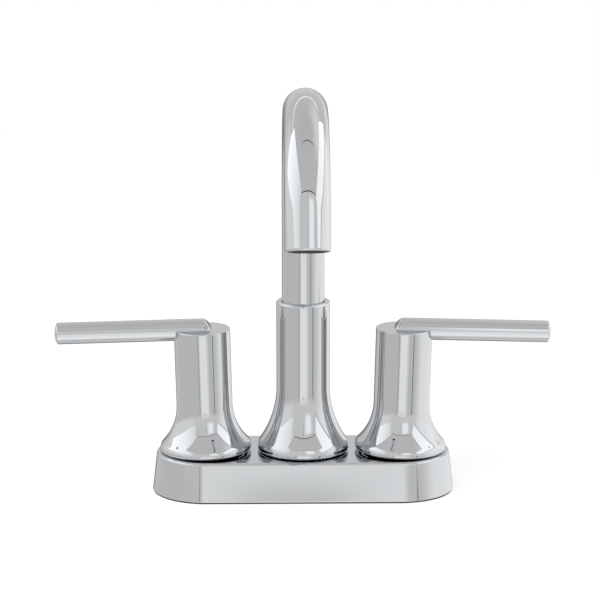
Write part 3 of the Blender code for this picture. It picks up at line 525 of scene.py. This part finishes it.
def lever_bar(side):
    """The bar along X on the given side, with its slanted inner end."""
    dome = (lever_radius**2 + lever_dome**2) / (2 * lever_dome)
    half = math.asin((lever_radius - lever_edge) / dome)
    wall_end = lever_reach - lever_dome - lever_edge
    edge = arc(lever_radius - lever_edge, wall_end, lever_edge, 0, math.radians(70), 6)
    rise = arc(0, lever_reach - dome, dome, math.pi / 2 - half, math.pi / 2 - half / 12, 8)
    profile = [(lever_radius, -handle_radius), (lever_radius, wall_end), *edge[1:], *rise]
    grow_turned(profile, tube_sides)
    cap_ends()
    bpy.ops.object.mode_set(mode="OBJECT")
    bar = bpy.context.object
    bar.rotation_euler = (0, side * math.pi / 2, 0)
    bar.location = (0, 0, lever_height)
    bpy.ops.object.transform_apply(location=True, rotation=True)
    bpy.ops.object.mode_set(mode="EDIT")
    bpy.ops.mesh.select_all(action="SELECT")
    bpy.ops.mesh.bisect(
        plane_co=(-side * lever_toe, 0, handle_top),
        plane_no=(-side * math.sin(slant), 0, math.cos(slant)),
        use_fill=True,
        clear_outer=True,
    )
    bpy.ops.mesh.bevel(offset=slant_round, segments=7, affect="EDGES")
    bpy.ops.object.mode_set(mode="OBJECT")
    return bar


print("the lever reaches", round(lever_reach / mm, 1), "mm from the valve's axis")

# %% [markdown]
# ### Handle heads
#
# The skirt and head of the casting are hollow below, with a blind socket that slips over the
# splines of the valve stem, and a small screw from behind holds them together. Both heads
# could be modelled apart, but they are mirror images on leaning axes, so one loop grows each
# upright at the origin, fuses its lever, bores its screw hole and then leans it into place.

# %% Handle heads
hub_rise = 39.0 * mm
rim_rise = 2.4 * mm
head_edge = 0.6 * mm
handle_flare_start = 25.4 * mm
handle_rim_round = 5.2 * mm
socket_radius, socket_top = 4.3 * mm, 55.2 * mm
screw_hole, screw_height = 2.3 * mm, 47 * mm
outside = arc(handle_radius - head_edge, handle_top - head_edge, head_edge, math.pi / 2, 0, 6)
outside.insert(0, (outside[0][0] - 2 * guard, handle_top))
outside += skirt(handle_radius, handle_flare_start, rim_rise, handle_rim_round)
outside += arc(rim_radius - rim_lip, rim_rise, rim_lip, 0, -math.pi / 2, 8)[1:]
inside = skirt(handle_radius, handle_flare_start, rim_rise, handle_rim_round, skirt_wall, 12)
hollow = [
    (inside[-1][0], rim_rise - rim_lip),
    *inside[::-1],
    (inside[0][0], hub_rise),
    (socket_radius, hub_rise),
    (socket_radius, socket_top),
]
for side, label in ((-1, "left"), (1, "right")):
    grow_turned(outside + hollow, turned_sides)
    cap_ends()
    bpy.ops.object.mode_set(mode="OBJECT")
    handle = bpy.context.object
    combine(handle, lever_bar(side), "UNION")
    hole_place = (0, handle_radius, screw_height)
    hole = cutting_rod(screw_hole, 2 * handle_radius, hole_place, (math.pi / 2, 0, 0))
    combine(handle, hole, "DIFFERENCE")
    handle.matrix_world = Matrix.Translation((side * valve_x, 0, pivot_height)) @ Matrix.Rotation(
        side * valve_lean, 4, "Y"
    )
    handle = tidy_piece(f"{label}_handle_casting")
    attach(handle, f"{label}_handle")
    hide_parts(f"handle_{label}")

# %% [markdown]
# ## Finishes
#
# Colours are written as hex codes, as a paint chart would give them, and one function turns
# them into the linear numbers that Blender expects. One small function adds a node, sets its
# values and links it, and every node added below is added with it.


# %% Colour and nodes
def linear(code):
    channels = [int(code[i : i + 2], 16) / 255 for i in (0, 2, 4)]
    return (*[c / 12.92 if c <= 0.04045 else ((c + 0.055) / 1.055) ** 2.4 for c in channels], 1)


def add_node(tree, kind, settings=(), links=()):
    """Adds a node. Settings name its properties or sockets, and links feed its sockets."""
    node = tree.nodes.new(kind)
    for key, value in dict(settings).items():
        if isinstance(key, str) and hasattr(node, key) and key not in node.inputs:
            setattr(node, key, value)
        else:
            node.inputs[key].default_value = value
    for key, output in dict(links).items():
        tree.links.new(output, node.inputs[key])
    return node


def principled(name, settings):
    """A material with its own numbers on the sockets of the Principled shader."""
    material = bpy.data.materials.new(name)
    material.use_nodes = True
    shader = material.node_tree.nodes["Principled BSDF"]
    for key, value in settings.items():
        shader.inputs[key].default_value = value
    material.diffuse_color = settings["Base Color"]
    print("finish", name)
    return material


print("mid grey 808080 is", round(linear("808080")[0], 3), "in linear light")

# %% [markdown]
# ### Decorative chromium plate
#
# Castings and tube are polished, plated with copper and nickel, and then with a film of
# chromium far thinner than a hair. The film follows the polish below it, so the roughness is
# nearly nothing, and chromium sends back a little over half of the light, with the
# faintest blue. It needs no texture: fingerprints and scratches would make it look used.

# %% Chromium plate
chromium = principled(
    "decorative_chromium_plate",
    {"Base Color": linear("C5C7C9"), "Metallic": 1.0, "Roughness": 0.025},
)

# %% [markdown]
# ### Cast brass
#
# The waterway is sand-cast brass. The skin keeps the grain of the mould, about half a
# millimetre across, which breaks the highlights up. Stems and nuts are turned from bar and
# look finer and smoother. A picture of cast metal would blur close up, so one noise, sized
# in millimetres, drives a small bump and varies the roughness a little. A noise cell holds a
# light grain and a dark one, which is why the scale is halved.


# %% Cast brass
def grained(name, settings, grain_mm, depth_mm, rough_low, rough_high):
    """A surface with a fine grain: noise of a real size drives its bump and roughness."""
    material = principled(name, settings)
    tree = material.node_tree
    place = add_node(tree, "ShaderNodeTexCoord")
    cells_per_metre = 1000.0 / grain_mm / 2
    noise = add_node(
        tree,
        "ShaderNodeTexNoise",
        {"Scale": cells_per_metre, "Detail": 3.0, "Roughness": 0.55},
        {"Vector": place.outputs["Object"]},
    )
    shader = tree.nodes["Principled BSDF"]
    spread = add_node(
        tree,
        "ShaderNodeMapRange",
        {"To Min": rough_low, "To Max": rough_high},
        {"Value": noise.outputs["Fac"]},
    )
    tree.links.new(spread.outputs["Result"], shader.inputs["Roughness"])
    bump = add_node(
        tree,
        "ShaderNodeBump",
        {"Strength": 0.6, "Distance": depth_mm * mm},
        {"Height": noise.outputs["Fac"]},
    )
    tree.links.new(bump.outputs["Normal"], shader.inputs["Normal"])
    return material


brass = grained(
    "sand_cast_brass", {"Base Color": linear("C79A4E"), "Metallic": 1.0}, 0.5, 0.05, 0.28, 0.45
)
machined = grained(
    "machined_brass", {"Base Color": linear("D0A558"), "Metallic": 1.0}, 0.3, 0.01, 0.18, 0.28
)

# %% [markdown]
# ### The small parts
#
# Washers, snap ring, pin and set screws are stainless steel, drawn or stamped. Seals are
# nitrile rubber, nearly black and dull. The valve discs are alumina, lapped so flat that they
# seal against each other. Cartridges, bushings and wing nuts are moulded acetal, a waxy
# plastic with a slight sheen, and the aerator is a dark grey one. All show little here. Plain
# colours would do at this distance, but grain keeps all but the alumina from looking like paint.

# %% The small parts
steel_look = {"Base Color": linear("B9BABB"), "Metallic": 1.0}
steel = grained("drawn_stainless_steel", steel_look, 0.3, 0.01, 0.25, 0.38)
rubber = grained(
    "nitrile_rubber", {"Base Color": linear("1B1B1C"), "Metallic": 0.0}, 0.4, 0.02, 0.6, 0.75
)
alumina = principled(
    "lapped_alumina", {"Base Color": linear("EAE8E1"), "Roughness": 0.15, "IOR": 1.76}
)
acetal_grey = grained(
    "grey_acetal", {"Base Color": linear("6B6D70"), "IOR": 1.48}, 0.6, 0.01, 0.4, 0.5
)
acetal_dark = grained(
    "dark_grey_acetal", {"Base Color": linear("2C2D2F"), "IOR": 1.48}, 0.6, 0.01, 0.4, 0.5
)
acetal_white = grained(
    "white_acetal", {"Base Color": linear("E3E2DE"), "IOR": 1.48}, 0.6, 0.01, 0.4, 0.5
)

# %% [markdown]
# ## Painting the parts
#
# The new pieces are chrome, apart from the black rubber strip that paints the shadow line under
# the plate. The CAD parts that still show keep their own solids and take the finish that their
# real counterparts have. A line for each part would be long, and most parts come in a left and
# a right one, so each name is looked up by how it starts.

# %% Painting the parts
finishes = {
    "valve_body": brass,
    "valve_stem": machined,
    "bonnet_nut": machined,
    "plate_nut": machined,
    "set_screw": steel,
    "shank_washer": steel,
    "spout_snap_ring": steel,
    "spout_stop_pin": steel,
    "deck_gasket": rubber,
    "post_seal": rubber,
    "seat_seal": rubber,
    "stem_oring": rubber,
    "spout_oring": rubber,
    "aerator_washer": rubber,
    "fixed_disc": alumina,
    "moving_disc": alumina,
    "cartridge_body": acetal_grey,
    "aerator_screen": acetal_dark,
    "aerator_housing": acetal_dark,
    "mounting_nut": acetal_white,
    "post_bushing": acetal_white,
    "spout_thrust_washer": acetal_white,
}


def paint(piece, material):
    piece.data.materials.clear()
    piece.data.materials.append(material)


for name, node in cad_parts.items():
    start = next((key for key in finishes if name.startswith(key)), None)
    paint(node, finishes[start] if start else chromium)
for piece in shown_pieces():
    if piece.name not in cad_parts:
        # the dark rubber strip paints the shadow line under the plate, and all else is chrome
        paint(piece, rubber if piece == shadow_line_strip else chromium)

# %% [markdown]
# ## The deck
#
# The faucet stands on a plain white deck, and its shanks and nuts are below it. The camera
# should see the deck and the air behind it as the same clean white, with only a soft shadow
# where the plate rests. More light on a white deck would also burn out the faucet, so the
# deck glows by itself and takes only the rest of its brightness from the light, which is
# where the shadow comes from.


# %% The deck
def stage_material(name):
    material = bpy.data.materials.new(name)
    material.use_nodes = True
    material.node_tree.nodes.clear()
    return material, material.node_tree


deck_radius = 1200 * mm
deck_glow = 0.62
clear_selection()
bpy.ops.mesh.primitive_circle_add(vertices=96, radius=deck_radius, fill_type="NGON")
deck = bpy.context.object
deck.name = "white_deck"
material, tree = stage_material("matt_white_deck")
glow = add_node(tree, "ShaderNodeEmission", {"Color": linear("FFFFFF"), "Strength": deck_glow})
coat = add_node(tree, "ShaderNodeBsdfDiffuse", {"Color": linear("C8C8C8")})
both = add_node(tree, "ShaderNodeAddShader", {}, {0: glow.outputs[0], 1: coat.outputs[0]})
add_node(tree, "ShaderNodeOutputMaterial", {}, {"Surface": both.outputs[0]})
paint(deck, material)
deck.visible_glossy = False
deck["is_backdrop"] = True
print("deck", 2 * deck_radius, "m across")

# %% [markdown]
# ## The studio that the chrome reflects
#
# A photographer lights chrome by building a tent of cards and soft boxes around it, because
# the metal shows nothing else. Chrome would also reflect a ready-made picture of a studio,
# but building one from a few plain shapes shows what each of them does to the metal, and
# only reflections see any of it. First comes a round tent, about three metres wide. Its
# broad patches of light and shade are written down by compass angle, 0 towards the viewer
# and 90 to the viewer's right, and by height in degrees above the horizon. The greys are
# those that the chrome shows, and the tent itself is brighter by what chrome swallows.

# %% The tent and its patches
tent_radius = 1600 * mm
tent_middle = 100 * mm
tent_grey = 177
chrome_share = 0.565
brightest = 1.8

# name: middle and half width, softness of the sides, bottom and top, softness of these, and
# the grey from 0 to 255
patches = {
    "ceiling": (0, 180, 1, 66, 91, 10, 174),
    "glow over the right box": (115, 40, 50, 42, 64, 24, 203),
    "floor": (0, 180, 1, -91, -26, 10, 185),
    "white table": (2, 36, 44, -60, -22, 12, 226),
    "front wall": (0, 60, 30, -6, 12, 10, 190),
    "front wall, middle": (0, 16, 16, -8, 14, 6, 201),
    "right wall": (108, 44, 44, -36, 14, 12, 216),
    "left wall": (-90, 44, 24, -3, 30, 8, 203),
    "opening behind, left": (-170, 18, 24, -60, 4, 20, 104),
    "opening behind, right": (172, 10, 14, -60, 4, 20, 104),
    "table, in half light": (5, 16, 8, -27, -5, 10, 200),
    "table, in the light": (0.7, 14, 1.5, -27, -6, 14, 217),
    "shadow of the table edge": (0.5, 4, 6, -10.5, -6.9, 1.8, 184),
    "dark side of the table": (-19.3, 0.9, 2, -27, -2, 8, 138),
    "rim of the tent, left": (-150, 36, 4, 38, 39.8, 1, 246),
    "rim of the tent, right": (166, 20, 8, 38, 39.8, 1, 240),
}


def card_level(grey):
    """The glow that makes chrome show the given grey, as a share of the brightest card."""
    return linear(f"{grey:02X}" * 3)[0] / chrome_share / brightest


print("a card at", tent_grey, "glows at", round(card_level(tent_grey) * brightest, 2))

# %% [markdown]
# ### Painting the tent
#
# The compass angle comes from the arc tangent of the tent's own X and Y, and the height from
# the arc sine of its Z. Each patch has a mask that is one inside its band of angles and its
# band of heights and fades at the sides, and a mix lays it over the patches before it.


# %% Painting the tent
def band(tree, value, low, high, soft):
    """One between the two limits, in degrees, and nought outside them, with soft sides."""
    middle, half = (low + high) / 2, (high - low) / 2
    offset = add_node(
        tree, "ShaderNodeMath", {"operation": "SUBTRACT", 1: math.radians(middle)}, {0: value}
    )
    away = add_node(tree, "ShaderNodeMath", {"operation": "ABSOLUTE"}, {0: offset.outputs[0]})
    limits = {
        "From Min": math.radians(half + soft / 2),
        "From Max": math.radians(max(half - soft / 2, 0)),
        "interpolation_type": "SMOOTHSTEP",
    }
    return add_node(tree, "ShaderNodeMapRange", limits, {"Value": away.outputs[0]}).outputs[0]


def grey_colour(grey):
    return (*[card_level(grey)] * 3, 1)


# A Mix node keeps sockets for numbers, vectors and colours, so its colours are found by place.
mix_colours, mix_result = (6, 7), 2


def only_reflected(piece):
    for ray in ("camera", "diffuse", "transmission", "shadow", "volume_scatter"):
        setattr(piece, f"visible_{ray}", False)
    piece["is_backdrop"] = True


clear_selection()
bpy.ops.mesh.primitive_uv_sphere_add(
    segments=64, ring_count=32, radius=tent_radius, location=(0, 0, tent_middle)
)
tent = bpy.context.object
tent.name = "studio_tent"
material, tree = stage_material("tent_cloth")
place = add_node(tree, "ShaderNodeTexCoord")
way = add_node(
    tree, "ShaderNodeVectorMath", {"operation": "NORMALIZE"}, {0: place.outputs["Object"]}
)
axes = add_node(tree, "ShaderNodeSeparateXYZ", {}, {0: way.outputs[0]})
towards = add_node(
    tree, "ShaderNodeMath", {"operation": "MULTIPLY", 1: -1.0}, {0: axes.outputs["Y"]}
)
angle = add_node(
    tree, "ShaderNodeMath", {"operation": "ARCTAN2"}, {0: axes.outputs["X"], 1: towards.outputs[0]}
)
height = add_node(tree, "ShaderNodeMath", {"operation": "ARCSINE"}, {0: axes.outputs["Z"]})
cloth = add_node(tree, "ShaderNodeRGB")
cloth.outputs[0].default_value = grey_colour(tent_grey)
shown = cloth.outputs[0]
for middle, half, soft, bottom, top, soft_ends, grey in patches.values():
    across = band(tree, angle.outputs[0], middle - half, middle + half, soft)
    upright = band(tree, height.outputs[0], bottom, top, soft_ends)
    mask = add_node(
        tree, "ShaderNodeMath", {"operation": "MULTIPLY"}, {0: across, 1: upright}
    )
    blend = add_node(
        tree, "ShaderNodeMix", {"data_type": "RGBA"}, {"Factor": mask.outputs[0]}
    )
    blend.inputs[mix_colours[1]].default_value = grey_colour(grey)
    tree.links.new(shown, blend.inputs[mix_colours[0]])
    shown = blend.outputs[mix_result]
glow = add_node(tree, "ShaderNodeEmission", {"Strength": brightest}, {"Color": shown})
add_node(tree, "ShaderNodeOutputMaterial", {}, {"Surface": glow.outputs[0]})
paint(tent, material)
only_reflected(tent)
print(len(patches), "patches painted")

# %% [markdown]
# ### Soft boxes, screen and bars
#
# What has a crisp straight edge in the metal is a flat card in the air: large soft boxes to
# the left and right in their frames, a grey screen in front with a light on it, the bar that
# it hangs from, and a few stands. They could be patches of the tent too, but their distance
# matters, because the spout and the base see the same bar from different heights.

# %% Soft boxes, screen and bars
to_front = (math.pi / 2, 0, 0)
to_right = (math.pi / 2, 0, math.pi / 2)
to_left = (math.pi / 2, 0, -math.pi / 2)
overhead = (0, 0, 0)
# name: middle in mm, way it faces, lean in its own plane in degrees, width and height in mm,
# the direction in which its grey changes, the first and last grey, and the share of its width
# and of its height that fades out at either edge
cards = {
    "front_screen": ((60, -820, 370), to_front, 0, (1410, 640), "Y", (190, 187), (0.01, 0.01)),
    "light_on_screen": ((270, -816, 400), to_front, 0, (480, 500), "Y", (226, 230), (0.3, 0.25)),
    "hanging_bar": ((150, -812, 696), to_front, 0, (1250, 28), "Y", (60, 60), (0.01, 0.3)),
    "camera_stand": ((5, -812, 490), to_front, 0, (12, 400), "Y", (120, 80), (0.3, 0.01)),
    "pole_right": ((702, -800, -235), to_front, 0, (105, 430), "Y", (70, 76), (0.4, 0.25)),
    "right_frame": ((758, -70, 660), to_right, 15.6, (1500, 550), "Y", (150, 150), (0.01, 0.02)),
    "right_soft_box": ((750, -70, 660), to_right, 15.6, (1450, 500), "X", (234, 254), (0.01, 0.04)),
    "right_low_box": ((765, 60, 330), to_right, 0, (1350, 700), "X", (208, 234), (0.25, 0.25)),
    "left_frame": ((-758, -350, 640), to_left, 0, (1550, 770), "Y", (150, 150), (0.01, 0.2)),
    "left_soft_box": ((-750, -350, 640), to_left, 0, (1500, 720), "X", (254, 200), (0.01, 0.01)),
    "ceiling_bar": ((95, -185, 1000), overhead, 0, (1000, 22), "Y", (90, 90), (0.3, 0.2)),
}
print(len(cards), "cards to hang")

# %% [markdown]
# ### Hanging the cards
#
# Each card is one plane, scaled and turned to face the faucet. A plain grey would look like
# paper, and a real soft box is brighter near its lamp, so two greys are blended across it.
# Where an edge is to be soft, the cloth turns clear towards it.


# %% Hanging the cards
def hang_card(name, middle, facing, lean, size, axis_of_change, greys, fading):
    clear_selection()
    bpy.ops.mesh.primitive_plane_add(size=1, location=Vector(middle) * mm, rotation=facing)
    card = bpy.context.object
    card.name = name
    card.scale = (size[0] * mm, size[1] * mm, 1)
    card.rotation_euler.rotate_axis("Z", math.radians(lean))
    material, tree = stage_material(f"{name}_cloth")
    place = add_node(tree, "ShaderNodeTexCoord")
    axes = add_node(tree, "ShaderNodeSeparateXYZ", {}, {0: place.outputs["Object"]})
    share = add_node(
        tree,
        "ShaderNodeMapRange",
        {"From Min": -0.5, "From Max": 0.5},
        {"Value": axes.outputs[axis_of_change]},
    )
    blend = add_node(
        tree, "ShaderNodeMix", {"data_type": "RGBA"}, {"Factor": share.outputs["Result"]}
    )
    for socket, grey in zip(mix_colours, greys):
        blend.inputs[socket].default_value = grey_colour(grey)
    glow = add_node(
        tree, "ShaderNodeEmission", {"Strength": brightest}, {"Color": blend.outputs[mix_result]}
    )
    solid = []
    for axis, fade in zip("XY", fading):
        away = add_node(
            tree, "ShaderNodeMath", {"operation": "ABSOLUTE"}, {0: axes.outputs[axis]}
        )
        limits = {"From Min": 0.5, "From Max": 0.5 - fade, "interpolation_type": "SMOOTHSTEP"}
        edge = add_node(tree, "ShaderNodeMapRange", limits, {"Value": away.outputs[0]})
        solid.append(edge.outputs["Result"])
    mask = add_node(tree, "ShaderNodeMath", {"operation": "MULTIPLY"}, dict(enumerate(solid)))
    clear = add_node(tree, "ShaderNodeBsdfTransparent")
    layers = {0: mask.outputs[0], 1: clear.outputs[0], 2: glow.outputs[0]}
    cloth = add_node(tree, "ShaderNodeMixShader", {}, layers)
    add_node(tree, "ShaderNodeOutputMaterial", {}, {"Surface": cloth.outputs[0]})
    paint(card, material)
    only_reflected(card)


for name, settings in cards.items():
    hang_card(name, *settings)
print(len(cards), "cards hung")

# %% [markdown]
# ## Light
#
# The world is an even white light all round, as a light tent gives, and the camera sees it
# as the white background. A backdrop would do the same, but it would need a lamp of its own.
# What is looked at directly or in a reflection sees full white, and what only lights the
# pieces is weaker, so that colours stay as they are written. One large soft lamp above the
# left shoulder gives the deck its faint shadow and the plastics a side that is lighter.

# %% Light
lit_strength, seen_strength = 0.6, 1.0
lamp_place = (-0.7, -0.8, 1.3)
lamp_watts = 9.0
world = bpy.data.worlds.new("light_tent")
world.use_nodes = True
bpy.context.scene.world = world
tree = world.node_tree
tree.nodes.clear()
path = add_node(tree, "ShaderNodeLightPath")
mirror = add_node(
    tree,
    "ShaderNodeMath",
    {"operation": "MAXIMUM"},
    {0: path.outputs["Is Camera Ray"], 1: path.outputs["Is Glossy Ray"]},
)
seen = add_node(
    tree,
    "ShaderNodeMath",
    {"operation": "MAXIMUM"},
    {0: mirror.outputs[0], 1: path.outputs["Is Transmission Ray"]},
)
strength = add_node(
    tree,
    "ShaderNodeMapRange",
    {"To Min": lit_strength, "To Max": seen_strength},
    {"Value": seen.outputs[0]},
)
sky = add_node(
    tree,
    "ShaderNodeBackground",
    {"Color": linear("FFFFFF")},
    {"Strength": strength.outputs["Result"]},
)
add_node(tree, "ShaderNodeOutputWorld", {}, {"Surface": sky.outputs[0]})

clear_selection()
bpy.ops.object.light_add(type="AREA", location=lamp_place)
lamp = bpy.context.object
lamp.name = "soft_lamp"
lamp.data.shape = "DISK"
lamp.data.size = 1.0
lamp.data.energy = lamp_watts
lamp.rotation_euler = (-lamp.location).to_track_quat("-Z", "Y").to_euler()
lamp.visible_glossy = False
lamp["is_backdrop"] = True
print("lamp at", round(lamp.location.length, 2), "m,", lamp_watts, "W")

# %% [markdown]
# ## Camera
#
# The picture was taken from a little above and a touch to the left, with a long lens. A
# camera could be placed by eye, but a long lens hides small errors that show in the outline.
# So the distance, angle and lens come from fitting the faucet's edges in the photograph.

# %% Camera
look_at = Vector((-1.6, 0, 101.18)) * mm
distance = 1319.2 * mm
elevation = math.radians(12.79)
azimuth = math.radians(-1.05)
back = Vector(
    (
        math.sin(azimuth) * math.cos(elevation),
        -math.cos(azimuth) * math.cos(elevation),
        math.sin(elevation),
    )
)
clear_selection()
bpy.ops.object.camera_add(location=look_at + back * distance)
camera = bpy.context.object
camera.rotation_euler = (-back).to_track_quat("-Z", "Y").to_euler()
camera.data.lens = 152.9
camera.data.sensor_width = 36
camera.data.clip_start = 0.05
camera.data.clip_end = 30
bpy.context.scene.camera = camera
bpy.context.scene.view_settings.view_transform = "Standard"
print("camera at", [round(c, 3) for c in camera.location])

# %% [markdown]
#
# The box round the visual model is printed in millimetres. The visual model has to stay
# inside the CAD model's box. It could be read off in the viewport, but a printed line can
# be compared after every run.

low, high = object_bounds()
print("visual box", [round(c * 1000, 1) for c in (*low, *high)])
